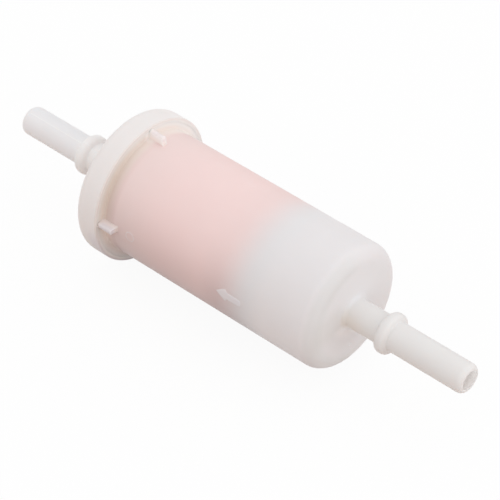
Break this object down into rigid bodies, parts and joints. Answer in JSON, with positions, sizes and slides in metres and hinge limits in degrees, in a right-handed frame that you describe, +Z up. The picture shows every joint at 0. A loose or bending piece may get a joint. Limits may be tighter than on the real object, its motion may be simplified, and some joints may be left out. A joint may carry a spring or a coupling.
{
  "type": "in-line fuel filter",
  "caption": "Sealed in-line fuel filter: a round moulded housing with a pleated paper element inside, a collared cap and a beaded spigot at each end.",
  "frame": {"origin": "centre of the bottom of the part's box, under the filter's axis, on the surface that the cap's collar lies on", "axes": "+X along the filter's axis towards the inlet spigot, +Z up, the raised flow arrow faces -Y"},
  "size_m": [0.1456, 0.0402, 0.0402],
  "materials": {
    "housing": "natural translucent nylon, satin",
    "cap": "natural nylon, satin",
    "end_disc": "moulded nylon, satin",
    "core": "moulded nylon, satin",
    "paper": "pleated filter paper, matte",
    "seal": "moulded rubber"
  },
  "bodies": {
    "root": {"housing": "housing", "outlet_cap": "cap", "outlet_end_disc": "end_disc", "inlet_end_disc": "end_disc", "core_tube": "core", "pleated_paper": "paper", "neck_seal": "seal"}
  },
  "joints": []
}
